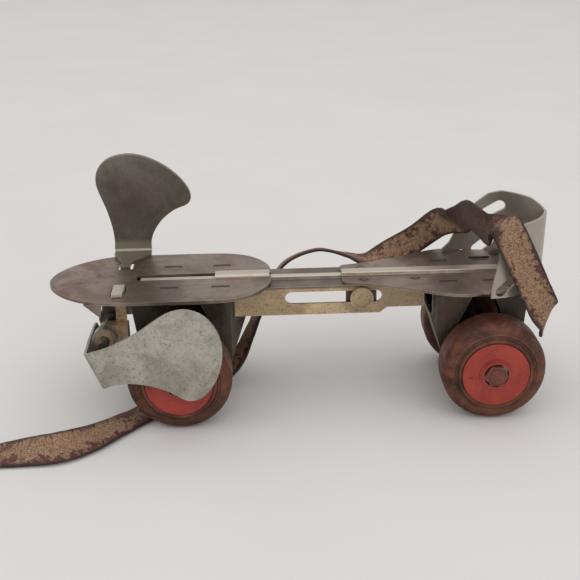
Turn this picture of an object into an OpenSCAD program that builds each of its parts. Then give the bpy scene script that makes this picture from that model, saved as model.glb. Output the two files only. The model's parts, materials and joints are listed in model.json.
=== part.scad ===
// Clamp-on roller skate with steel ball-bearing wheels, an adjustable length and a leather ankle strap.
// Millimetres. +X points to the heel, +Y to the far side, +Z up. The origin is on the ground,
// on the centre line and midway between the two axles.

/* [Wheels] */
// Diameter over the tread
wheel_d = 50; // [49:0.5:50.5]
// Distance between the two axles, at the shortest setting
wheelbase = 150; // [149:0.5:151]
// Distance between the middles of the two treads on one axle
track = 58.4; // [58:0.1:59]
// Balls in each of a wheel's two races
ball_count = 8; // [6:1:9]

/* [Sole plates] */
// Height of the front plate's top face above the ground
plate_top = 64; // [63.8:0.1:64.4]
// Half of the front plate's width
plate_half_w = 31.5; // [30:0.5:33]
// Thickness of the sheet steel
sheet = 1.4; // [1.3:0.05:1.45]

/* [Toe clips] */
// Height of the clamp screw's axis
screw_z = 43.4; // [43:0.1:44]
// Angle of the near clip from upright, swung down towards the heel
near_clip_angle = 68; // [60:1:72]
// Outward lean of the near clip
near_clip_lean = 6; // [5:1:8]
// Lean of the far clip, inwards over the sole
far_clip_lean = -15; // [-17:1:-8]

/* [Heel cup] */
// Height of the cup's rim above the ground
cup_rim = 95.5; // [92:0.5:97]
// Outer radius of the cup at its foot
cup_r = 30.5; // [30.4:0.05:30.7]

/* [Strap] */
// Width of the leather
strap_w = 15; // [12:0.5:15]
// Thickness of the leather
strap_t = 1.6; // [1.2:0.1:1.8]

/* [Hidden] */
$fn = 64;

// Clearances: a running fit, a face beside a face, and a moving sheet beside a sheet
fit = 0.06;
gap = 0.1;
slip = 0.3;

wheel_r = wheel_d / 2;
front_x = -wheelbase / 2;
heel_x = wheelbase / 2;
wheel_y = track / 2;

// Levels of the stacked sheets under the shoe
front_sheet = 1.5;
plate_bottom = plate_top - front_sheet;
bar_top = plate_bottom - 0.7;
bar_bottom = bar_top - 1.2;
heel_top = bar_top + sheet;
guide_top = bar_bottom - slip;
guide_bottom = guide_top - 1.1;

// Extension bar: top strip, side web with its long slot, and centre rib
bar_half_w = 12.5;
web_bottom = 47.2;
slot_z = 56;
slot_h = 6.2;
slot_x0 = -23.6;
slot_x1 = 23.4;
rib_half = 2;
bar_tip = -95;

// Hangers
hanger_half_w = 14.8;
hanger_wall = 1.5;
tab_len = 9;
front_tabs = [-79, -54.5];
heel_tabs = [55, 76];

// Rivets, and where they stand
rivet_r = 1.5;
rivet_hole = rivet_r + 0.1;
rivet_head_r = 2.4;
guide_rivet_x = [-84, -58];
guide_rivet_z = 54;
bracket_rivet_x = -115;
bracket_rivet_y = [-4.5, 4.5];
bar_rivet_x = [15, 40];
bar_rivet_y = 7.5;
cup_rivet_a = [-60, 0, 60];
cup_rivet_ring = 26;

// Length bolt
bolt_x = 13.5;
bolt_z = 55.4;
bolt_r = 2;

// Axles
axle_r = 3.5;
axle_half = 43;
sleeve_r = 6;
axle_nut_r = 5.5;
axle_nut_h = 3;
disc_hole_r = 5.9;

// Clamp screw and its two nuts
screw_x = -110;
screw_r = 2.5;
screw_half = 36;
pitch = 2;
nut_r = 4.3;
nut_in = 14;
leg_x = -103;
leg_w = 5;
leg_slot_half = leg_w / 2 + 1.2;

// Toe clips
clip_t = 1.4;
clip_half = 9.5;
clip_curve = 150;
far_clip_x = -101;
far_clip_y = 34;
near_clip_y = 43.4;
near_clip_shift = 6.4;
near_clip_stretch = 1.08;

// Heel cup
cup_x = 72;
cup_flare = 1;

// Bearings
ball_r = 1.35;
ball_ring = 5.5;
ball_u = 7.4;
race_r = 7;

// ---- Curves ----

function arc(cx, cy, r, a0, a1, n = 8) =
    [for (i = [0 : n]) let (a = a0 + (a1 - a0) * i / n) [cx + r * cos(a), cy + r * sin(a)]];

function spline(a, b, c, d, t) =
    0.5 * (2 * b + (c - a) * t + (2 * a - 5 * b + 4 * c - d) * t * t + (3 * b - a - 3 * c + d) * t * t * t);

// A smooth curve through open points, with n steps between neighbours
function smooth(p, n) = let (m = len(p) - 1) concat(
    [for (i = [0 : m - 1], k = [0 : n - 1])
        spline(p[max(i - 1, 0)], p[i], p[i + 1], p[min(i + 2, m)], k / n)],
    [p[m]]);

function mirrored(p) = [for (i = [len(p) - 1 : -1 : 0]) [p[i][0], -p[i][1]]];

function unit(v) = v / norm(v);

// ---- Small shapes ----

module along_y(r, y0, y1, x = 0, z = 0) {
    translate([x, y0, z]) rotate([-90, 0, 0]) cylinder(r = r, h = y1 - y0);
}

module ring_y(r, bore, y0, y1, x = 0, z = 0) {
    difference() {
        along_y(r, y0, y1, x, z);
        along_y(bore, y0 - 1, y1 + 1, x, z);
    }
}

// A box between two corners
module block(a, b) {
    translate(a) cube(b - a);
}

// A side view, given as [x, z] points, drawn out from y0 to y1
module side_view(y0, y1) {
    translate([0, y1, 0]) rotate([90, 0, 0]) linear_extrude(y1 - y0) children();
}

// A slot with round ends in a side view
module slot2d(p, q, w) {
    d = q - p;
    translate(p) rotate(atan2(d[1], d[0])) {
        translate([0, -w / 2]) square([norm(d), w]);
        circle(d = w);
        translate([norm(d), 0]) circle(d = w);
    }
}

module both_sides() {
    children();
    mirror([0, 1, 0]) children();
}

module rivet(p, r, z0, z1) {
    translate([p[0], p[1], z0]) cylinder(r = r, h = z1 - z0);
}

// ---- Front section ----

front_half = [
    [-138.3, 0], [-137, 7], [-133.5, 14], [-127, 21.5], [-118, 27.6], [-108, 30.7], [-92, plate_half_w],
    [-60, plate_half_w], [-48, 29.8], [-39.5, 25.2], [-33.5, 17.5], [-30.4, 8.5]
];
front_outline = smooth(concat(front_half, mirrored(front_half)), 4);

module raised_rib(x0, x1, z, half, height) {
    translate([x0, 0, z]) rotate([90, 0, 90]) linear_extrude(x1 - x0)
        polygon([[-half, -0.01], [half, -0.01], [half - 1, height], [1 - half, height]]);
}

module front_sole_plate() color("gray") {
    difference() {
        union() {
            translate([0, 0, plate_bottom]) linear_extrude(front_sheet) polygon(front_outline);
            raised_rib(-57.5, -31, plate_top, 3.6, 1.5);
            both_sides() side_view(-29.6, -28.2)
                polygon([[-118, plate_bottom + 0.2], [-109.5, plate_bottom + 0.2], [-110.6, 56]]);
        }
        raised_rib(-60, -29, plate_bottom - 0.5, 3, 2);
        block([-96, -3.6, 60], [-57.5, 3.6, 70]);
        tab_slots(front_tabs, plate_bottom);
        both_sides()
            block([leg_x - leg_slot_half, nut_in - 2, 60], [leg_x + leg_slot_half, nut_in + 9, 70]);
        for (y = bracket_rivet_y) rivet([bracket_rivet_x, y], rivet_r + gap / 2, 60, 70);
    }
}

// Narrow slots that the hanger's tabs come up through
module tab_slots(xs, z) {
    for (x = xs) both_sides()
        block([x - tab_len / 2 - gap, hanger_half_w - hanger_wall - gap, z - 2],
              [x + tab_len / 2 + gap, hanger_half_w + gap, z + 5]);
}

// A pressed trestle: the side view is given from the axle, with its sloping face towards s
function hanger_side(s, top_in, low_in, top_out, low_out, z1) = [
    [s * top_in, z1], [s * low_in, 25], [s * 15, 16.5], [s * 8, 14], [-s * 8, 14], [-s * 15, 16.5],
    [-s * low_out, 25], [-s * top_out, z1]
];

function shrink(p, d) = [for (q = p) [q[0] - sign(q[0]) * d, q[1] < 20 ? q[1] + d : q[1]]];

module hanger(x, s, top_in, low_in, top_out, low_out, z1, tabs, tab_top) {
    outline = hanger_side(s, top_in, low_in, top_out, low_out, z1);
    difference() {
        intersection() {
            union() {
                translate([x, 0, 0]) side_view(-hanger_half_w, hanger_half_w) polygon(outline);
                for (t = tabs) both_sides()
                    block([t - tab_len / 2, hanger_half_w - hanger_wall, z1 - 1],
                          [t + tab_len / 2, hanger_half_w, tab_top]);
            }
            translate([x, 0, 0]) linear_extrude(100) hanger_plan(s);
        }
        translate([x, 0, 0]) intersection() {
            side_view(hanger_wall - hanger_half_w, hanger_half_w - hanger_wall)
                polygon(shrink(outline, hanger_wall));
            translate([-s * hanger_wall, 0, 0]) linear_extrude(100) hanger_plan(s);
        }
        // the way through for the extension bar
        block([x + min(0, s * 60), -13.1, web_bottom - 1], [x + max(0, s * 60), 13.1, z1 + 5]);
        block([x - 60, -13.1, bar_bottom - 1.6], [x + 60, 13.1, z1 + 5]);
        // arched windows between the legs
        translate([x, 0, 0]) side_view(-40, 40) {
            leg_arch(s, low_in, low_out);
        }
        along_y(axle_r + gap / 2, -40, 40, x, wheel_r);
    }
}

// The plan of a hanger: square at the outer end, with clipped corners at the inner end
module hanger_plan(s) {
    w = hanger_half_w;
    polygon([[-s * 40, -w], [s * 25, -w], [s * 37, -5], [s * 37, 5], [s * 25, w], [-s * 40, w]]);
}

module leg_arch(s, low_in, low_out) {
    inner = low_in - 4;
    outer = low_out - 5;
    polygon([[s * inner, 34], [s * (inner - 10), 55], [-s * (outer - 9), 55], [-s * outer, 34]]);
    translate([s * (inner - 6), 34]) circle(r = 6);
    translate([-s * (outer - 6), 34]) circle(r = 6);
    polygon([
        [s * (inner - 6), 28 + 12], [s * (inner - 6), 36], [-s * (outer - 6), 36], [-s * (outer - 6), 40]]);
}

module front_hanger() color("dimgray") difference() {
    hanger(front_x, 1, 38, 24.5, 24, 19, plate_bottom - gap / 2, front_tabs, plate_top + 0.2);
    for (x = guide_rivet_x) along_y(rivet_hole, 5, 20, x, guide_rivet_z);
}

// An angle bolted inside the hanger: it carries the extension bar and holds the length bolt
module length_guide() color("darkgray") {
    y_far = hanger_half_w - hanger_wall - gap;
    difference() {
        union() {
            block([-90, -10.7, guide_bottom], [21, y_far, guide_top]);
            block([-90, y_far - 1.2, 50], [-52, y_far, guide_top]);
            block([6, -10.7, 50], [21, -9.5, guide_top]);
        }
        along_y(bolt_r + gap / 2, -20, 0, bolt_x, bolt_z);
        for (x = guide_rivet_x) along_y(rivet_hole, 5, 20, x, guide_rivet_z);
    }
}

module guide_rivets() color("silver")
    for (x = guide_rivet_x) {
        along_y(rivet_r, 8.5, 16, x, guide_rivet_z);
        along_y(rivet_head_r, 14.9, 16, x, guide_rivet_z);
        along_y(rivet_head_r, 10.5, 11.9, x, guide_rivet_z);
    }

// Round-headed bolt through the slot of the extension bar
module length_bolt() color("darkkhaki") {
    along_y(bolt_r, -14, -4, bolt_x, bolt_z);
    along_y(5.6, -14.2, -12.5 - slip, bolt_x, bolt_z);
    translate([bolt_x, -14.2, bolt_z]) intersection() {
        translate([0, 9.3, 0]) sphere(r = 10.6);
        along_y(5.1, -2, 0.5);
    }
}

module length_nut() color("darkgray")
    translate([bolt_x, -9.3, bolt_z]) rotate([-90, 0, 0]) difference() {
        cylinder(r = 3.6, h = 3, $fn = 6);
        translate([0, 0, -1]) cylinder(r = bolt_r + fit, h = 5);
    }

// ---- Axles and bearings ----

module axle(x) color("dimgray") difference() {
    along_y(axle_r, -axle_half, axle_half, x, wheel_r);
    both_sides() ring_y(axle_r + 1, axle_r - 0.35, axle_half - 0.5, axle_half + 1, x, wheel_r);
}

module axle_sleeve(x) color("gray")
    ring_y(sleeve_r, axle_r + gap / 2, -hanger_half_w + hanger_wall + gap,
        hanger_half_w - hanger_wall - gap, x, wheel_r);

module axle_spacers(x) color("gray") both_sides()
    ring_y(5, axle_r + gap / 2, hanger_half_w + gap, wheel_y - 9.9, x, wheel_r);

module bearing_cones(x) color("silver") both_sides() for (s = [-1, 1])
    translate([x, wheel_y, wheel_r]) rotate([-90 * s, 0, 0]) difference() {
        union() {
            translate([0, 0, 5.8]) cylinder(r = 4.05, h = 3.2);
            translate([0, 0, 8.9]) cylinder(r = 6.5, h = 0.8);
        }
        translate([0, 0, 5]) cylinder(r = axle_r + gap / 2, h = 6);
    }

module axle_nuts(x) color("saddlebrown") both_sides()
    translate([x, wheel_y + 9.8, wheel_r]) rotate([-90, 0, 0]) difference() {
        cylinder(r = axle_nut_r, h = axle_nut_h, $fn = 6);
        translate([0, 0, -1]) cylinder(r = axle_r + gap / 2, h = 5);
    }

module front_axle() axle(front_x);
module front_axle_sleeve() axle_sleeve(front_x);
module front_axle_spacers() axle_spacers(front_x);
module front_bearing_cones() bearing_cones(front_x);
module front_axle_nuts() axle_nuts(front_x);
module heel_axle() axle(heel_x);
module heel_axle_sleeve() axle_sleeve(heel_x);
module heel_axle_spacers() axle_spacers(heel_x);
module heel_bearing_cones() bearing_cones(heel_x);
module heel_axle_nuts() axle_nuts(heel_x);

// ---- Wheels, drawn with their outer face up and moved into place ----

module place_wheel(x, s) {
    translate([x, s * wheel_y, wheel_r]) rotate([-90 * s, 0, 0]) children();
}

// Rolled tread with a round shoulder, a groove and a narrow bead round the red disc
wheel_outer = concat(
    [[9.1, -9.8]], arc(wheel_r - 5, -4.8, 5, -90, 0), arc(wheel_r - 5.5, 4.2, 5.5, 0, 80, 8),
    arc(19.1, 10.2, 0.9, 180 + 170, 180, 6), arc(17.1, 9.9, 1, 0, 180, 8));
wheel_inner = concat(
    [[16.1, 8.4], [17.1, 8.5]], [[19, 8]], arc(wheel_r - 5.5, 4.2, 4.1, 80, 0, 8),
    arc(wheel_r - 5, -4.8, 3.6, 0, -90), [[9.1, -8.4]]);

module wheel_shell(x, s) color("saddlebrown") place_wheel(x, s)
    rotate_extrude($fn = 96) polygon(concat(wheel_outer, wheel_inner));

module wheel_disc(x, s) color("firebrick") place_wheel(x, s) rotate_extrude($fn = 96) {
    translate([disc_hole_r + 0.1, 9.95]) square([15.9 - disc_hole_r, 0.8]);
    translate([disc_hole_r, 9.95]) square([1.3, 1.7]);
    translate([disc_hole_r + 1.3, 9.95]) square([0.8, 1.2]);
}

module wheel_hub(x, s) color("gray") place_wheel(x, s) rotate_extrude($fn = 64) {
    translate([axle_r + fit, -5.6]) square([9 - axle_r - fit, 11.2]);
    translate([race_r, -9.8]) square([9 - race_r, 19.6]);
}

module wheel_balls(x, s) color("lightgray") place_wheel(x, s)
    for (side = [-1, 1], i = [0 : ball_count - 1]) rotate(i * 360 / ball_count)
        translate([ball_ring, 0, side * ball_u]) sphere(r = ball_r, $fn = 24);

module front_near_wheel_shell() wheel_shell(front_x, -1);
module front_near_wheel_disc() wheel_disc(front_x, -1);
module front_near_wheel_hub() wheel_hub(front_x, -1);
module front_near_wheel_balls() wheel_balls(front_x, -1);
module front_far_wheel_shell() wheel_shell(front_x, 1);
module front_far_wheel_disc() wheel_disc(front_x, 1);
module front_far_wheel_hub() wheel_hub(front_x, 1);
module front_far_wheel_balls() wheel_balls(front_x, 1);
module heel_near_wheel_shell() wheel_shell(heel_x, -1);
module heel_near_wheel_disc() wheel_disc(heel_x, -1);
module heel_near_wheel_hub() wheel_hub(heel_x, -1);
module heel_near_wheel_balls() wheel_balls(heel_x, -1);
module heel_far_wheel_shell() wheel_shell(heel_x, 1);
module heel_far_wheel_disc() wheel_disc(heel_x, 1);
module heel_far_wheel_hub() wheel_hub(heel_x, 1);
module heel_far_wheel_balls() wheel_balls(heel_x, 1);

// ---- Toe clamp ----

module clamp_bracket() color("darkgray") difference() {
    union() {
        block([-118, -7, plate_bottom - 1.4 - gap], [-104, 7, plate_bottom - gap]);
        block([screw_x - 4, -2, screw_z], [screw_x + 4, 2, plate_bottom - 1]);
        along_y(6, -2, 2, screw_x, screw_z);
    }
    along_y(screw_r + fit, -5, 5, screw_x, screw_z);
    for (y = bracket_rivet_y) rivet([bracket_rivet_x, y], rivet_r + gap / 2, 50, 70);
}

module bracket_rivets() color("silver") for (y = bracket_rivet_y) {
    rivet([bracket_rivet_x, y], rivet_r, plate_bottom - 3.5, plate_top + 0.1);
    rivet([bracket_rivet_x, y], rivet_head_r, plate_bottom - 3.5, plate_bottom - 1.6);
}

// Screw with a left-hand thread on one half and a right-hand thread on the other
module clamp_screw() color("darkgray") translate([screw_x, 0, screw_z]) {
    crest = 0.3;
    turns = floor((screw_half - 6) / 1.6);
    both_sides() {
        along_y(screw_r, 0, 6);
        rotate([-90, 0, 0]) translate([0, 0, 6]) rotate_extrude($fn = 32) polygon(concat(
            [[0, 0], [screw_r, 0]],
            [for (i = [0 : turns - 1], k = [0, 1]) [screw_r - crest * k, 0.4 + 1.6 * (i + k / 2)]],
            [[screw_r - crest, 1.6 * turns], [0, 1.6 * turns]]));
        along_y(3.9, 2.2, 4);
    }
    block([-1.7, screw_half - 2, -1.7], [1.7, screw_half + 5, 1.7]);
}

// Block that runs along the screw; its leg comes up through the sole plate
module clamp_nut(boss) {
    difference() {
        union() {
            along_y(nut_r, nut_in, nut_in + 7, screw_x, screw_z);
            block([screw_x, nut_in, screw_z - nut_r], [-99.5, nut_in + 7, screw_z + nut_r]);
            if (boss) along_y(nut_r, nut_in + 6, nut_in + 14, screw_x, screw_z);
        }
        along_y(screw_r + fit, 0, 60, screw_x, screw_z);
    }
}

module far_clamp_nut() color("darkkhaki") clamp_nut(false);

module near_clamp_nut() color("darkkhaki") mirror([0, 1, 0]) {
    clamp_nut(true);
    clip_leg();
    block([leg_x - leg_w / 2, nut_in - 1.4, plate_top + slip],
        [leg_x + leg_w / 2, nut_in + 11, plate_top + 1.7]);
}

module clip_leg() {
    block([leg_x - leg_w / 2, nut_in - 1.4, screw_z - nut_r], [leg_x + leg_w / 2, nut_in, plate_top + 1.7]);
}

// Outline of the ear, [along the sole, up], from the bend
clip_ear = smooth([
    [-clip_half, 0], [-9, 6], [-9.4, 14], [-11, 24], [-13.6, 34], [-14.6, 41], [-12.8, 48], [-7, 53.5],
    [2, 55.6], [11, 54], [20.5, 49], [28, 42], [32, 34.5], [30.5, 28.5], [23, 24], [16.2, 17.5], [11.6, 10],
    [9.8, 4], [clip_half, 0]
], 3);

// Upright blade, with its inner face at y = 0 and its foot at z = 0, bending inwards at the sides
module clip_blade(lean, stretch) {
    rotate([-lean, 0, 0]) intersection() {
        side_view(-15, 15) polygon([for (q = clip_ear) [q[0], q[1] * stretch]]);
        translate([0, -clip_curve, -10]) difference() {
            cylinder(r = clip_curve + clip_t, h = 90, $fn = 240);
            translate([0, 0, -1]) cylinder(r = clip_curve, h = 92, $fn = 240);
        }
    }
}

// Quarter bend from the blade into a flat foot at z = -3, over the width of the stem
module clip_bend() {
    translate([0, -3 + clip_t, 0]) intersection() {
        rotate([0, 90, 0]) translate([0, 0, -clip_half]) difference() {
            cylinder(r = 3, h = 2 * clip_half);
            translate([0, 0, -1]) cylinder(r = 3 - clip_t, h = 2 * clip_half + 2);
        }
        block([-clip_half, 0, -3], [clip_half, 3, 0.25]);
    }
}

module far_toe_clip() color("slategray") {
    bend_y = far_clip_y - 3 + clip_t;
    translate([far_clip_x, far_clip_y, plate_top + slip + 3]) {
        clip_blade(far_clip_lean, 1);
        clip_bend();
    }
    translate([0, 0, plate_top + slip]) linear_extrude(clip_t) polygon(concat(
        [[far_clip_x + clip_half, bend_y], [far_clip_x + clip_half, 30], [leg_x + 3.4, 20.5],
         [leg_x + leg_w / 2, 17], [leg_x + leg_w / 2, nut_in - 1.4]],
        [[leg_x - leg_w / 2, nut_in - 1.4], [leg_x - leg_w / 2, 17], [leg_x - 3.4, 20.5],
         [far_clip_x - clip_half, 30], [far_clip_x - clip_half, bend_y]]));
    clip_leg();
}

// The near clip turns on the round boss of its nut
module near_toe_clip() color("lightgray") translate([screw_x, 0, screw_z]) mirror([0, 1, 0])
    rotate([0, near_clip_angle, 0]) {
        foot = 5.6;
        bend_y = near_clip_y - 3 + clip_t;
        translate([near_clip_shift, near_clip_y, 3 - foot - clip_t]) {
            clip_blade(near_clip_lean, near_clip_stretch);
            clip_bend();
        }
        translate([0, 0, -foot - clip_t]) linear_extrude(clip_t) polygon([
            [near_clip_shift + clip_half, bend_y], [near_clip_shift + clip_half, 39], [9, 33], [4.5, 28],
            [4, 7], [-3, 7], [-3.5, 28], [near_clip_shift - clip_half, 35],
            [near_clip_shift - clip_half, bend_y]]);
        difference() {
            union() {
                along_y(nut_r + fit + 1.2, nut_in + 8, nut_in + 13);
                block([-3, nut_in + 8, -foot - 0.2], [3.5, nut_in + 13, -3]);
            }
            along_y(nut_r + fit, 0, 60);
        }
    }

// ---- Heel section ----

// Flat strip with a rib, folded down on the near side into the slotted web
module extension_bar() color("darkkhaki") {
    difference() {
        union() {
            block([bar_tip, -bar_half_w, bar_bottom], [62, bar_half_w, bar_top]);
            raised_rib(bar_tip + 1, 62, bar_top - 0.2, rib_half + 0.4, 1.7);
            side_view(-bar_half_w, -bar_half_w + 1.3) polygon([
                [-52, bar_top], [-52, web_bottom], [22.5, web_bottom], [26, 50], [44, 50], [44, bar_top]]);
        }
        raised_rib(bar_tip - 2, 64, bar_bottom - 0.3, rib_half - 0.6, 1.8);
        side_view(-20, 0) slot2d([slot_x0 + slot_h / 2, slot_z], [slot_x1 - slot_h / 2, slot_z], slot_h);
        for (x = bar_rivet_x) both_sides() rivet([x, bar_rivet_y], rivet_hole, 50, 70);
    }
}

module bar_rivets() color("silver") for (x = bar_rivet_x) both_sides() {
    rivet([x, bar_rivet_y], rivet_r, bar_bottom - 0.1, heel_top + 0.1);
    rivet([x, bar_rivet_y], rivet_head_r, heel_top + 0.05, heel_top + 0.5);
}

heel_half = [
    [4.4, 9.5], [6, 11.6], [14, 13.5], [24, 16.5], [36, 21.5], [48, 27.6], [57, 30.8], [64, 31], [69, 28.6]
];
heel_outline = concat(
    smooth(heel_half, 4), arc(cup_x, 0, cup_r - 1.6, 88, -88, 24), smooth(mirrored(heel_half), 4));

module heel_plate() color("gray") difference() {
    union() {
        translate([0, 0, bar_top + gap / 2]) linear_extrude(sheet) polygon(heel_outline);
        raised_rib(4.6, 82, heel_top, 3.6, 1.6);
    }
    raised_rib(4, 80, bar_top - 0.5, 3, 2.2);
    tab_slots(heel_tabs, heel_top);
    for (x = bar_rivet_x) both_sides() rivet([x, bar_rivet_y], rivet_hole, 50, 70);
    for (a = cup_rivet_a)
        rivet([cup_x + cup_rivet_ring * cos(a), cup_rivet_ring * sin(a)], rivet_hole, 50, 70);
    block([70.5, 15.4, 50], [81.5, 18.4, 70]);
}

module heel_hanger() color("dimgray")
    hanger(heel_x, -1, 33, 21.8, 20, 17, bar_top - gap / 2, heel_tabs, heel_top + 0.25);

// Flared steel cup round the heel, with slots for the strap and three tabs turned in below the plate
module heel_cup() color("slategray") {
    z0 = bar_top - sheet - gap;
    difference() {
        intersection() {
            translate([cup_x, 0, 0]) difference() {
                translate([0, 0, z0]) cylinder(r1 = cup_r, r2 = cup_r + cup_flare, h = 45, $fn = 128);
                translate([0, 0, z0 - 1])
                    cylinder(r1 = cup_r - 1.4, r2 = cup_r - 1.4 + cup_flare, h = 47, $fn = 128);
            }
            side_view(-40, 40) polygon([
                [60, z0], [105, z0], [105, cup_rim - 2], [100, cup_rim], [88, cup_rim], [82, cup_rim - 2],
                [76, 88.5], [70.5, 82], [66, 74], [62.5, 67.5], [59, 64.8], [59, z0]]);
        }
        // the near wall starts farther back
        side_view(-40, 0) polygon([[40, 50], [72, 50], [72.8, 66], [75.5, 80], [76, 100], [40, 100]]);
        // over the plate the far wall stands on it
        block([40, 0, 50], [70, 40, heel_top + gap]);
        side_view(-40, 40) {
            slot2d([79.5, 82], [87.5, 88], 5);
            slot2d([77, 63.5], [83, 69], 5);
        }
    }
    for (a = cup_rivet_a) translate([cup_x, 0, bar_top - sheet - gap]) rotate(a) difference() {
        block([cup_r - 7.3, -4, 0], [cup_r - 1, 4, sheet]);
        rivet([cup_rivet_ring, 0], rivet_hole, -5, 5);
    }
}

module cup_rivets() color("silver") for (a = cup_rivet_a) translate([cup_x, 0, 0]) rotate(a) {
    rivet([cup_rivet_ring, 0], rivet_r, bar_top - 1.6, heel_top + 0.2);
    rivet([cup_rivet_ring, 0], rivet_head_r, heel_top + 0.15, heel_top + 0.9);
    rivet([cup_rivet_ring, 0], rivet_head_r, bar_top - 2.6, bar_top - 1.6);
}

// ---- Ankle strap: places along the middle of the leather, and the way its width points there ----

tail_path = [
    [-190, -64, 1.2], [-172, -62.5, 1.6], [-156.5, -61.5, 3.1], [-143, -62, 4.9], [-130, -61.5, 6.1],
    [-119, -54, 5.2], [-109, -41.5, 3.2], [-98.5, -28.5, 1.8], [-92, -20, 1.1], [-82, -7.5, 1],
    [-68, 4, 1.5], [-57, 10.5, 4.4], [-48, 16.5, 12], [-41, 21.5, 25], [-34, 26, 40], [-28.5, 29, 50.5],
    [-23, 31.5, 57.2]
];
tail_width = [
    [-0.1, 1, 0], [-0.1, 1, 0.05], [0, 0.96, 0.26], [0, 0.85, 0.5], [-0.2, 0.75, 0.6],
    [-0.5, 0.7, 0.45], [-0.72, 0.68, 0.2], [-0.7, 0.7, 0.07], [-0.7, 0.72, 0], [-0.7, 0.72, 0],
    [-0.6, 0.8, 0], [-0.5, 0.86, 0], [-0.35, 0.93, 0], [-0.2, 0.98, 0], [-0.1, 0.99, -0.1], [0, 0.98, -0.2],
    [0, 0.96, -0.28]
];
heel_path = [
    [-22.7, 31.6, 57.4], [-14, 33.5, 61.6], [-3.5, 34, 63.6], [9, 34, 60.4], [20, 35, 56.4], [29, 36, 57.6],
    [38, 36, 62.2], [46, 35.5, 67.4], [52.5, 34.5, 72.6], [57.4, 32.5, 77], [60.5, 28, 79.6],
    [63.2, 21, 81.5], [65, 12, 85.5], [66.8, 2, 91], [69, -8, 91.5], [71.8, -18, 90.5],
    [74, -26, 93.5], [75.8, -32.6, 97.6],
    [78.2, -35.4, 94], [82, -35.6, 86.5], [86.8, -35.4, 76.6], [91.8, -35, 66], [96.8, -33.8, 56],
    [99.4, -30.6, 49.6], [99.3, -26, 45]
];
heel_width = [
    [0, 0.96, -0.28], [0, 0.95, -0.3], [0, 0.95, -0.3], [0, 0.95, -0.25], [0, 0.97, 0.1], [-0.4, 0.7, 0.6],
    [-0.57, 0.25, 0.78], [-0.6, 0, 0.8], [-0.45, 0, 0.88], [-0.12, 0, 0.99], [-0.1, -0.45, 0.88],
    [-0.1, -0.72, 0.68], [-0.1, -0.5, 0.85], [-0.13, -0.05, 0.99], [0, -0.35, 0.93], [0.15, -0.4, 0.9],
    [0.5, -0.3, 0.8], [0.85, 0, 0.5], [0.92, 0, 0.38], [0.91, 0, 0.41], [0.9, 0, 0.42], [0.88, 0, 0.46],
    [0.84, 0.1, 0.5], [0.5, 0.8, 0.25], [0.15, 0.98, 0]
];

// A flat band swept along its path, square to it at every step
module band(path, width, steps) {
    p = smooth(path, steps);
    w = smooth(width, steps);
    last = len(p) - 1;
    rings = [for (i = [0 : last])
        let (t = unit(p[min(i + 1, last)] - p[max(i - 1, 0)]),
             v = unit(w[i] - (w[i] * t) * t),
             n = cross(t, v))
        for (c = [[-1, -1], [1, -1], [1, 1], [-1, 1]])
            p[i] + v * c[0] * strap_w / 2 + n * c[1] * strap_t / 2];
    polyhedron(rings, concat(
        [[0, 1, 2, 3]],
        [for (i = [0 : last - 1], k = [0 : 3])
            let (a = 4 * i + k, b = 4 * i + (k + 1) % 4)
            each [[b, a, a + 4], [b, a + 4, b + 4]]],
        [[4 * last + 3, 4 * last + 2, 4 * last + 1, 4 * last]]));
}

module strap_tail() color("peru") band(tail_path, tail_width, 3);
module strap_heel() color("peru") band(heel_path, heel_width, 3);

front_sole_plate();
front_hanger();
length_guide();
length_bolt();
length_nut();
guide_rivets();
front_axle();
front_axle_sleeve();
front_axle_spacers();
front_bearing_cones();
front_axle_nuts();
clamp_bracket();
bracket_rivets();
clamp_screw();
far_clamp_nut();
far_toe_clip();
near_clamp_nut();
near_toe_clip();
extension_bar();
heel_plate();
heel_hanger();
heel_cup();
cup_rivets();
bar_rivets();
heel_axle();
heel_axle_sleeve();
heel_axle_spacers();
heel_bearing_cones();
heel_axle_nuts();
front_near_wheel_shell();
front_near_wheel_disc();
front_near_wheel_hub();
front_near_wheel_balls();
front_far_wheel_shell();
front_far_wheel_disc();
front_far_wheel_hub();
front_far_wheel_balls();
heel_near_wheel_shell();
heel_near_wheel_disc();
heel_near_wheel_hub();
heel_near_wheel_balls();
heel_far_wheel_shell();
heel_far_wheel_disc();
heel_far_wheel_hub();
heel_far_wheel_balls();
strap_tail();
strap_heel();
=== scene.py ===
"""Looks of a clamp-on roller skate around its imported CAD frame. Metres, in the CAD's own frame."""
import json
import math

import bmesh
import bpy
from mathutils import Matrix, Vector, noise


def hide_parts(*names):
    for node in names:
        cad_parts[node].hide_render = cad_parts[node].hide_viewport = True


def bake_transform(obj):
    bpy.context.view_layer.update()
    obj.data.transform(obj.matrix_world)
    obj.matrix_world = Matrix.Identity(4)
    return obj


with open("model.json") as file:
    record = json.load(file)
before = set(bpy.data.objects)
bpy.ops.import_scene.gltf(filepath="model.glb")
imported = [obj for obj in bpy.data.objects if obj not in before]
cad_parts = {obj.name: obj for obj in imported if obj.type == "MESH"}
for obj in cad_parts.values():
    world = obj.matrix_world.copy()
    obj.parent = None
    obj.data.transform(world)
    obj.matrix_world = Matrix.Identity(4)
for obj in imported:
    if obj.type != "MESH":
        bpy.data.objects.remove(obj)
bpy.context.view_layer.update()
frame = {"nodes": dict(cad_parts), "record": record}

MM = 0.001


# ---- Camera ----

CAMERA_AT = (-0.0328, -0.4746, 0.2510)
CAMERA_YAW, CAMERA_PITCH, CAMERA_ROLL = 0.0251, -0.3912, -0.0199
CAMERA_LENS = 64.28
SENSOR = 36


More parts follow.
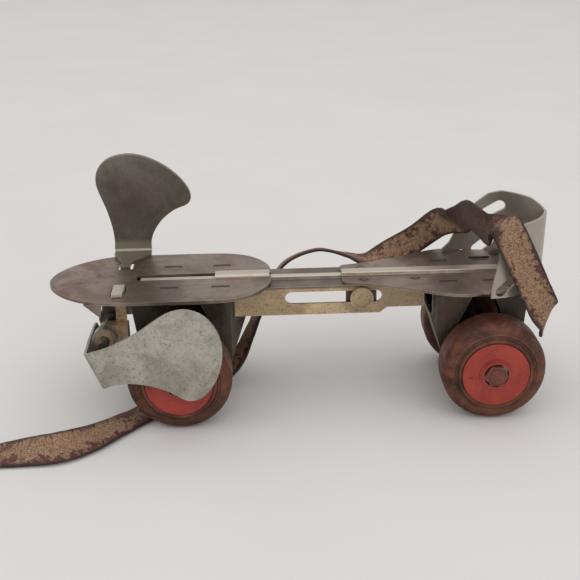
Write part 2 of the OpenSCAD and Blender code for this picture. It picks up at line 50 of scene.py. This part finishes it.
def make_camera():
    yaw, pitch, roll = CAMERA_YAW, CAMERA_PITCH, CAMERA_ROLL
    forward = Vector((math.sin(yaw) * math.cos(pitch), math.cos(yaw) * math.cos(pitch), math.sin(pitch)))
    right = Vector((math.cos(yaw), -math.sin(yaw), 0))
    up = right.cross(forward)
    cam_x = math.cos(roll) * right + math.sin(roll) * up
    cam_y = math.cos(roll) * up - math.sin(roll) * right
    camera = bpy.data.objects.new("camera", bpy.data.cameras.new("camera"))
    bpy.context.scene.collection.objects.link(camera)
    camera.data.lens = CAMERA_LENS
    camera.data.sensor_width = SENSOR
    camera.data.clip_start = 0.01
    turn = Matrix((cam_x, cam_y, -forward)).transposed().to_4x4()
    camera.matrix_world = Matrix.Translation(CAMERA_AT) @ turn
    bpy.context.scene.camera = camera


make_camera()


# ---- Shader building ----

class Shader:
    """A material under construction. Values given to node() are constants or sockets to link."""

    def __init__(self, name):
        self.material = bpy.data.materials.new(name)
        self.material.use_nodes = True
        self.tree = self.material.node_tree
        self.bsdf = self.tree.nodes["Principled BSDF"]
        self.place = self.node("ShaderNodeTexCoord").outputs["Object"]

    def node(self, kind, inputs=None, **settings):
        made = self.tree.nodes.new(kind)
        for key, value in settings.items():
            setattr(made, key, value)
        for key, value in (inputs or {}).items():
            self.give(made.inputs[key], value)
        return made

    def give(self, socket, value):
        if isinstance(value, bpy.types.NodeSocket):
            self.tree.links.new(value, socket)
        else:
            socket.default_value = value

    def set(self, **values):
        for key, value in values.items():
            self.give(self.bsdf.inputs[key.replace("_", " ")], value)

    def noise(self, scale, stretch=(1, 1, 1), detail=5, rough=0.6, warp=0, shift=0):
        moved = self.node("ShaderNodeMapping", {"Vector": self.place, "Scale": stretch,
                                                "Location": (shift, shift, shift)})
        made = self.node("ShaderNodeTexNoise", {"Vector": moved.outputs[0], "Scale": scale, "Detail": detail,
                                                "Roughness": rough, "Distortion": warp})
        return made.outputs[0]

    def ramp(self, value, low, high, to_low=0.0, to_high=1.0):
        made = self.node("ShaderNodeMapRange", {"Value": value, "From Min": low, "From Max": high,
                                                "To Min": to_low, "To Max": to_high},
                         interpolation_type="SMOOTHSTEP")
        return made.outputs[0]

    def math(self, operation, a, b=0.0):
        return self.node("ShaderNodeMath", {0: a, 1: b}, operation=operation).outputs[0]

    def mix(self, share, a, b):
        def colour(c):
            return c if isinstance(c, bpy.types.NodeSocket) else (*c, 1)
        return self.node("ShaderNodeMix", {0: share, 6: colour(a), 7: colour(b)}, data_type="RGBA").outputs[2]

    def bump(self, height, distance, under=None):
        inputs = {"Height": height, "Distance": distance, "Strength": 1.0}
        if under is not None:
            inputs["Normal"] = under
        return self.node("ShaderNodeBump", inputs).outputs[0]

    def edges(self, radius=0.0006):
        """1 where the surface turns sharply, 0 on flat faces."""
        rounded = self.node("ShaderNodeBevel", {"Radius": radius}, samples=4).outputs[0]
        true = self.node("ShaderNodeNewGeometry").outputs["Normal"]
        dot = self.node("ShaderNodeVectorMath", {0: rounded, 1: true}, operation="DOT_PRODUCT")
        return self.ramp(dot.outputs["Value"], 0.99, 0.85)

    def axis(self, name):
        """Distance along one axis of the CAD frame."""
        return self.node("ShaderNodeSeparateXYZ", {"Vector": self.place}).outputs[name]

    def attribute(self, name):
        return self.node("ShaderNodeAttribute", attribute_name=name).outputs["Fac"]


BRUSH_X = (30, 1400, 1400)
BRUSH_Z = (1400, 1400, 60)
RUST = (0.105, 0.038, 0.018)
RUBBED = (0.60, 0.55, 0.46)

# Where each mark begins and where it is full, in metres along an axis of the CAD frame: stains, wear, and
# painted light and shade
TOE_STAIN_X = (-0.104, -0.124)
HEEL_RIB_Z = (0.0642, 0.0647)
WEB_HEEL_END_X = (-0.012, 0.030)
BAR_FLAT_Z = (0.0603, 0.0612)
BAR_RIB_Z = (0.0626, 0.0631)
# Painted shade on the tab ends that show in the plate slots
TAB_SLOT_SHADE_Z = (0.0624, 0.0630)
# Painted highlight along the bend at the foot of the toe clip
BEND_HIGHLIGHT_OVER_Z, BEND_HIGHLIGHT_UNDER_Z = (0.0645, 0.0665), (0.0735, 0.0695)
CLIP_SIDE_X = (-0.06, -0.08)
# Painted light that makes the heel cup paler
CUP_PAINTED_LIGHT_X = (0.02, 0.04)
# Painted shade where the strap crosses over the top of the heel cup
FOLD_SHADE_Z = (0.0775, 0.0835)
FOLD_SHADE_FROM_X, FOLD_SHADE_TO_X = (0.0555, 0.0600), (0.0755, 0.0725)


def steel(name, clean, stained, rough=0.42, brush=BRUSH_X, stain=(0.42, 0.6), specks=0.0, rust=0.0,
          wear=(0.50, 0.46, 0.38), metal=0.92, shift=0, marks=None):
    """Worn sheet steel: brushing, soft stains, dark specks, rust in patches and edges rubbed bright."""
    s = Shader(name)
    brushed = s.noise(1, brush, 4, 0.55, shift=shift)
    cloud = s.noise(55, detail=7, rough=0.62, warp=0.4, shift=shift)
    fine = s.noise(900, detail=3, rough=0.6, shift=shift)
    colour = s.mix(s.ramp(cloud, *stain), clean, stained)
    colour = s.mix(s.ramp(brushed, 0.35, 0.75, 0.0, 0.34), colour, tuple(c * 0.5 for c in clean))
    pits = s.math("MULTIPLY", s.ramp(fine, 0.56, 0.66), specks)
    colour = s.mix(pits, colour, tuple(c * 0.28 for c in stained))
    patch = s.math("MULTIPLY", s.ramp(s.noise(38, detail=9, rough=0.72, shift=shift + 4), 0.55, 0.66), rust)
    colour = s.mix(patch, colour, RUST)
    if marks:
        colour = marks(s, colour, cloud)
    colour = s.mix(s.math("MULTIPLY", s.edges(), 0.55), colour, wear)
    grain = s.bump(brushed, 0.00004)
    grain = s.bump(s.math("SUBTRACT", 1.0, s.math("ADD", pits, patch)), 0.00008, grain)
    bare = s.math("MULTIPLY", metal, s.math("SUBTRACT", 1.0, s.math("MULTIPLY", patch, 0.85)))
    s.set(Base_Color=colour, Metallic=bare,
          Roughness=s.math("ADD", s.math("MULTIPLY", brushed, 0.16),
                           s.math("ADD", s.math("MULTIPLY", patch, 0.35), rough - 0.08)),
          Normal=grain)
    return s.material


def sole_marks(s, colour, cloud):
    """A red-brown stain at the toe, a pink cast in soft clouds and the heel's rib rubbed bright."""
    colour = s.mix(s.ramp(s.noise(30, detail=4, shift=11), 0.5, 0.68, 0.0, 0.4), colour, (0.25, 0.17, 0.155))
    toe = s.math("MULTIPLY", s.ramp(s.axis("X"), *TOE_STAIN_X), s.ramp(cloud, 0.42, 0.6, 0.0, 0.5))
    colour = s.mix(toe, colour, (0.19, 0.075, 0.055))
    rib = s.math("MULTIPLY", s.ramp(s.axis("Z"), *HEEL_RIB_Z), s.ramp(cloud, 0.25, 0.5, 0.3, 0.8))
    return s.mix(rib, colour, RUBBED)


def bar_marks(s, colour, cloud):
    """Grey-brown where the strip lies flat under the plates, with its rib rubbed bright along the top."""
    colour = s.mix(s.ramp(s.axis("X"), *WEB_HEEL_END_X, 0.0, 0.62), colour, (0.150, 0.112, 0.072))
    flat = s.ramp(s.axis("Z"), *BAR_FLAT_Z)
    grey_brown = s.mix(s.ramp(cloud, 0.42, 0.6), (0.205, 0.172, 0.143), (0.135, 0.108, 0.090))
    colour = s.mix(flat, colour, grey_brown)
    rib = s.math("MULTIPLY", s.ramp(s.axis("Z"), *BAR_RIB_Z), s.ramp(cloud, 0.25, 0.5, 0.55, 0.9))
    return s.mix(rib, colour, RUBBED)


def tab_slot_shade(s, colour, cloud):
    """Tab ends that show in the slots of the plates are painted nearly black, as painted shade in the slots.
    """
    return s.mix(s.ramp(s.axis("Z"), *TAB_SLOT_SHADE_Z, 0.0, 0.8), colour, (0.028, 0.022, 0.018))


def clip_painted_light(s, colour, cloud):
    """A painted highlight along the bend at the foot, and painted light that makes the cup at the heel paler
    than the clip.
    """
    # Painted light: the heel cup is painted paler to stand in for light falling on it
    cup = s.math("MULTIPLY", s.ramp(s.axis("X"), *CUP_PAINTED_LIGHT_X), s.ramp(cloud, 0.3, 0.6, 0.95, 0.7))
    colour = s.mix(cup, colour, (0.42, 0.38, 0.33))
    # Painted highlight: a bright band along the bend at the foot of the toe clip
    bend_highlight = s.math("MULTIPLY", s.ramp(s.axis("Z"), *BEND_HIGHLIGHT_OVER_Z),
                       s.ramp(s.axis("Z"), *BEND_HIGHLIGHT_UNDER_Z))
    toe_end = s.ramp(s.axis("X"), *CLIP_SIDE_X)
    return s.mix(s.math("MULTIPLY", s.math("MULTIPLY", bend_highlight, toe_end), 0.6), colour, (0.46, 0.42, 0.34))


def rusty(name, light=(0.150, 0.046, 0.022), dark=(0.035, 0.012, 0.007)):
    """Rolled steel gone brown: layered rust with grit and a few grey rubbed places."""
    s = Shader(name)
    cloud = s.noise(70, detail=9, rough=0.68, warp=0.6)
    grit = s.noise(1100, detail=4, rough=0.7)
    colour = s.mix(s.ramp(cloud, 0.36, 0.64), dark, light)
    colour = s.mix(s.ramp(grit, 0.5, 0.72, 0.0, 0.55), colour, (0.20, 0.085, 0.042))
    colour = s.mix(s.math("MULTIPLY", s.edges(0.0009), 0.35), colour, (0.27, 0.17, 0.12))
    relief = s.bump(grit, 0.00022, s.bump(cloud, 0.0006))
    s.set(Base_Color=colour, Metallic=0.25, Roughness=s.ramp(cloud, 0.3, 0.7, 0.72, 0.5), Normal=relief)
    return s.material


def red_paint(name):
    """Old red enamel, faded in clouds, chipped to brown at the edges and in small spots."""
    s = Shader(name)
    cloud = s.noise(90, detail=6, rough=0.6, warp=0.3)
    chips = s.math("MAXIMUM", s.ramp(s.noise(420, detail=6, rough=0.65, shift=3), 0.63, 0.68),
                   s.math("MULTIPLY", s.edges(0.0005), s.ramp(cloud, 0.4, 0.6)))
    colour = s.mix(s.ramp(cloud, 0.35, 0.7), (0.255, 0.020, 0.012), (0.350, 0.038, 0.022))
    colour = s.mix(chips, colour, (0.13, 0.035, 0.02))
    s.set(Base_Color=colour, Roughness=s.ramp(cloud, 0.3, 0.7, 0.38, 0.6), Coat_Weight=0.05,
          Normal=s.bump(s.math("SUBTRACT", 1.0, chips), 0.00016, s.bump(cloud, 0.00022)))
    return s.material


def leather(name):
    """Tan leather whose dark face has flaked away, darkest at its cut edges, with painted shade where it
    crosses over the top of the heel cup.
    """
    s = Shader(name)
    edge, inner = s.attribute("edge"), s.attribute("inner")
    fibre = s.noise(1300, (1, 1, 1), 5, 0.72)
    flake = s.noise(330, detail=9, rough=0.74, warp=0.5)
    broad = s.noise(48, detail=5, rough=0.6, shift=7)
    tan = s.mix(s.ramp(fibre, 0.32, 0.68), (0.120, 0.060, 0.034), (0.40, 0.250, 0.155))
    kept = s.math("ADD", flake, s.math("MULTIPLY", s.math("SUBTRACT", broad, 0.5), 0.55))
    kept = s.ramp(s.math("ADD", kept, s.math("MULTIPLY", edge, 0.13)), 0.565, 0.635)
    dark = s.mix(s.ramp(broad, 0.4, 0.62), (0.040, 0.014, 0.010), (0.105, 0.024, 0.020))
    colour = s.mix(s.math("MAXIMUM", kept, inner), tan, dark)
    colour = s.mix(s.math("MULTIPLY", s.ramp(edge, 0.72, 0.98), 0.85), colour, (0.020, 0.010, 0.008))
    # Painted shade: near-black on the strap where it crosses over the heel cup
    fold_shade = s.math("MULTIPLY", s.ramp(s.axis("Z"), *FOLD_SHADE_Z),
                    s.math("MULTIPLY", s.ramp(s.axis("X"), *FOLD_SHADE_FROM_X), s.ramp(s.axis("X"), *FOLD_SHADE_TO_X)))
    colour = s.mix(s.math("MULTIPLY", fold_shade, 0.8), colour, (0.032, 0.014, 0.011))
    relief = s.bump(kept, 0.00012, s.bump(fibre, 0.00016))
    s.set(Base_Color=colour, Roughness=s.math("SUBTRACT", 0.85, s.math("MULTIPLY", kept, 0.22)),
          Normal=relief)
    return s.material


MATERIALS = {
    "sole_steel": steel("sole_steel", (0.285, 0.230, 0.185), (0.185, 0.145, 0.118), rust=0.35,
                        metal=0.85, marks=sole_marks),
    "hanger_steel": steel("hanger_steel", (0.120, 0.104, 0.086), (0.060, 0.048, 0.040), 0.5, BRUSH_Z,
                          rust=0.5, marks=tab_slot_shade),
    "patina_steel": steel("patina_steel", (0.640, 0.480, 0.290), (0.410, 0.300, 0.180), 0.46, specks=0.6,
                          rust=0.2, wear=(0.62, 0.56, 0.42), metal=0.6, marks=bar_marks),
    "fastener_steel": steel("fastener_steel", (0.22, 0.19, 0.16), (0.11, 0.09, 0.07), 0.42, rust=0.5),
    "clip_steel": steel("clip_steel", (0.235, 0.220, 0.190), (0.150, 0.140, 0.115), 0.36, BRUSH_Z,
                        (0.36, 0.66), specks=0.15, wear=(0.55, 0.50, 0.36), metal=0.7, marks=clip_painted_light),
    "near_clip_steel": steel("near_clip_steel", (0.510, 0.490, 0.430), (0.370, 0.350, 0.300), 0.5,
                             (500, 500, 500), specks=0.5, wear=(0.30, 0.28, 0.24)),
    "rusty_steel": rusty("rusty_steel"),
    "red_paint": red_paint("red_paint"),
    "bearing_steel": steel("bearing_steel", (0.33, 0.30, 0.27), (0.16, 0.13, 0.11), 0.3, rust=0.3),
    "axle_steel": steel("axle_steel", (0.115, 0.094, 0.078), (0.055, 0.042, 0.035), 0.5, rust=0.7),
    "rusty_nuts": rusty("rusty_nuts", (0.330, 0.090, 0.055), (0.110, 0.034, 0.022)),
    "strap_leather": leather("strap_leather"),
}
for part in frame["record"]["subparts"]:
    node = frame["nodes"][part["node"]]
    node.data.materials.clear()
    node.data.materials.append(MATERIALS[part["material_slot"]])


# ---- Leather strap ----

STRAP_W, STRAP_T = 15 * MM, 1.6 * MM
# Places along the middle of the leather, and the way its width points there, as the CAD has them
STRAP_PATH = [
    (-190, -64, 1.2), (-172, -62.5, 1.6), (-156.5, -61.5, 3.1), (-143, -62, 4.9), (-130, -61.5, 6.1),
    (-119, -54, 5.2), (-109, -41.5, 3.2), (-98.5, -28.5, 1.8), (-92, -20, 1.1), (-82, -7.5, 1),
    (-68, 4, 1.5), (-57, 10.5, 4.4), (-48, 16.5, 12), (-41, 21.5, 25), (-34, 26, 40), (-28.5, 29, 50.5),
    (-22.7, 31.6, 57.4), (-14, 33.5, 61.6), (-3.5, 34, 63.6), (9, 34, 60.4), (20, 35, 56.4), (29, 36, 57.6),
    (38, 36, 62.2), (46, 35.5, 67.4), (52.5, 34.5, 72.6), (57.4, 32.5, 77), (60.5, 28, 79.6),
    (63.2, 21, 81.5), (65, 12, 85.5), (66.8, 2, 91), (69, -8, 91.5), (71.8, -18, 90.5),
    (74, -26, 93.5), (75.8, -32.6, 97.6), (78.2, -35.4, 94), (82, -35.6, 86.5), (86.8, -35.4, 76.6),
    (91.8, -35, 66), (96.8, -33.8, 56), (99.4, -30.6, 49.6), (99.3, -26, 45),
]
STRAP_ACROSS = [
    (-0.1, 1, 0), (-0.1, 1, 0.05), (0, 0.96, 0.26), (0, 0.85, 0.5), (-0.2, 0.75, 0.6),
    (-0.5, 0.7, 0.45), (-0.72, 0.68, 0.2), (-0.7, 0.7, 0.07), (-0.7, 0.72, 0), (-0.7, 0.72, 0),
    (-0.6, 0.8, 0), (-0.5, 0.86, 0), (-0.35, 0.93, 0), (-0.2, 0.98, 0), (-0.1, 0.99, -0.1), (0, 0.98, -0.2),
    (0, 0.96, -0.28), (0, 0.95, -0.3), (0, 0.95, -0.3), (0, 0.95, -0.25), (0, 0.97, 0.1), (-0.4, 0.7, 0.6),
    (-0.57, 0.25, 0.78), (-0.6, 0, 0.8), (-0.45, 0, 0.88), (-0.12, 0, 0.99), (-0.1, -0.45, 0.88),
    (-0.1, -0.72, 0.68), (-0.1, -0.5, 0.85), (-0.13, -0.05, 0.99), (0, -0.35, 0.93), (0.15, -0.4, 0.9),
    (0.5, -0.3, 0.8), (0.85, 0, 0.5), (0.92, 0, 0.38), (0.91, 0, 0.41), (0.9, 0, 0.42), (0.88, 0, 0.46),
    (0.84, 0.1, 0.5), (0.5, 0.8, 0.25), (0.15, 0.98, 0),
]
STRAP_STEPS = 12
HOLE_R = 1.1 * MM
HOLE_EVERY = 1.55
HOLES_FROM, HOLE_COUNT = 1.6, 4


def smooth(points, steps):
    """Catmull-Rom curve through open points."""
    last = len(points) - 1
    made = []
    for i in range(last):
        a, b, c, d = (points[max(i - 1, 0)], points[i], points[i + 1], points[min(i + 2, last)])
        for k in range(steps):
            t = k / steps
            made.append(0.5 * (2 * b + (c - a) * t + (2 * a - 5 * b + 4 * c - d) * t * t
                               + (3 * b - a - 3 * c + d) * t ** 3))
    return made + [points[last]]


def strap_frames():
    """Centre, across and outward directions at each step along the leather."""
    path = smooth([Vector(p) * MM for p in STRAP_PATH], STRAP_STEPS)
    across = smooth([Vector(w) for w in STRAP_ACROSS], STRAP_STEPS)
    frames = []
    for i, p in enumerate(path):
        along = (path[min(i + 1, len(path) - 1)] - path[max(i - 1, 0)]).normalized()
        v = (across[i] - along * across[i].dot(along)).normalized()
        frames.append((p, v, along.cross(v)))
    return frames


def strap_section():
    """Outline of the cut leather: flat faces with soft edges, as (across, out, edge share, inner share)."""
    half_w, half_t, columns = STRAP_W / 2, STRAP_T / 2, 14
    outer = []
    for k in range(columns + 1):
        u = -1 + 2 * k / columns
        crown = half_t * (1 - 0.55 * abs(u) ** 14)
        outer.append((u * half_w, crown, abs(u), 0.0))
    inner = [(u, -out, share, 1.0) for u, out, share, _ in reversed(outer)]
    return outer + inner


def build_strap():
    frames, section = strap_frames(), strap_section()
    mesh = bmesh.new()
    edge = mesh.verts.layers.float.new("edge")
    inner = mesh.verts.layers.float.new("inner")
    rings = []
    for i, (centre, v, n) in enumerate(frames):
        ring = []
        for across, out, share, inside in section:
            where = centre + v * across
            crumple = 0.22 * MM * noise.noise(where * 140) + 0.09 * MM * noise.noise(where * 520)
            ragged = 1 + 0.012 * share * noise.noise(centre * 330 + v * math.copysign(4, across))
            vert = mesh.verts.new(centre + v * across * ragged + n * (out + crumple))
            vert[edge], vert[inner] = share, inside
            ring.append(vert)
        rings.append(ring)
    count = len(section)
    for a, b in zip(rings, rings[1:]):
        for k in range(count):
            mesh.faces.new((a[k], a[(k + 1) % count], b[(k + 1) % count], b[k]))
    mesh.faces.new(rings[0][::-1])
    mesh.faces.new(rings[-1])
    bmesh.ops.recalc_face_normals(mesh, faces=mesh.faces)
    data = bpy.data.meshes.new("ankle_strap")
    mesh.to_mesh(data)
    mesh.free()
    strap = bpy.data.objects.new("ankle_strap", data)
    bpy.context.scene.collection.objects.link(strap)
    return strap, frames


def punch_holes(strap, frames):
    """Buckle holes down the middle of the tail."""
    cutter_mesh = bmesh.new()
    for k in range(HOLE_COUNT):
        centre, v, n = frames[round((HOLES_FROM + k * HOLE_EVERY) * STRAP_STEPS)]
        turn = Matrix((n.cross(v), v, n)).transposed().to_4x4()
        bmesh.ops.create_cone(cutter_mesh, cap_ends=True, segments=20, radius1=HOLE_R, radius2=HOLE_R,
                              depth=6 * STRAP_T, matrix=Matrix.Translation(centre) @ turn)
    cutter_data = bpy.data.meshes.new("cutter")
    cutter_mesh.to_mesh(cutter_data)
    cutter_mesh.free()
    cutter = bpy.data.objects.new("cutter", cutter_data)
    bpy.context.scene.collection.objects.link(cutter)
    cut = strap.modifiers.new("holes", "BOOLEAN")
    cut.operation, cut.solver, cut.object = "DIFFERENCE", "EXACT", cutter
    graph = bpy.context.evaluated_depsgraph_get()
    holed = bpy.data.meshes.new_from_object(strap.evaluated_get(graph))
    strap.modifiers.clear()
    strap.data = holed
    bpy.data.objects.remove(cutter)


strap, strap_line = build_strap()
punch_holes(strap, strap_line)
strap.data.materials.clear()
strap.data.materials.append(MATERIALS["strap_leather"])
for face in strap.data.polygons:
    face.use_smooth = True
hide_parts("strap_tail", "strap_heel")
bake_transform(strap)


# ---- Floor and light ----

FLOOR_HALF = 4


def floor():
    mesh = bmesh.new()
    bmesh.ops.create_grid(mesh, x_segments=1, y_segments=1, size=FLOOR_HALF)
    data = bpy.data.meshes.new("floor")
    mesh.to_mesh(data)
    mesh.free()
    made = bpy.data.objects.new("floor", data)
    bpy.context.scene.collection.objects.link(made)
    s = Shader("floor")
    cloth = s.noise(9, detail=3)
    s.set(Base_Color=s.mix(cloth, (0.69, 0.68, 0.665), (0.75, 0.74, 0.725)), Roughness=0.9)
    data.materials.append(s.material)


def softbox(name, at, aim, size, power, colour):
    data = bpy.data.lights.new(name, "AREA")
    data.shape, data.size, data.energy, data.color = "SQUARE", size, power, colour
    made = bpy.data.objects.new(name, data)
    made.location = at
    made.rotation_euler = (Vector(aim) - Vector(at)).to_track_quat("-Z", "Y").to_euler()
    bpy.context.scene.collection.objects.link(made)


floor()
softbox("key", (-0.35, 0.1, 1.6), (0, 0, 0), 2.4, 5, (1.0, 0.98, 0.96))
softbox("fill", (0.4, -1.1, 1.0), (0, 0, 0.03), 1.6, 5, (1.0, 0.98, 0.97))
world = bpy.data.worlds.new("studio")
world.use_nodes = True
world.node_tree.nodes["Background"].inputs[0].default_value = (0.97, 0.955, 0.95, 1)
world.node_tree.nodes["Background"].inputs[1].default_value = 0.80
bpy.context.scene.world = world
bpy.context.scene.view_settings.view_transform = "Standard"
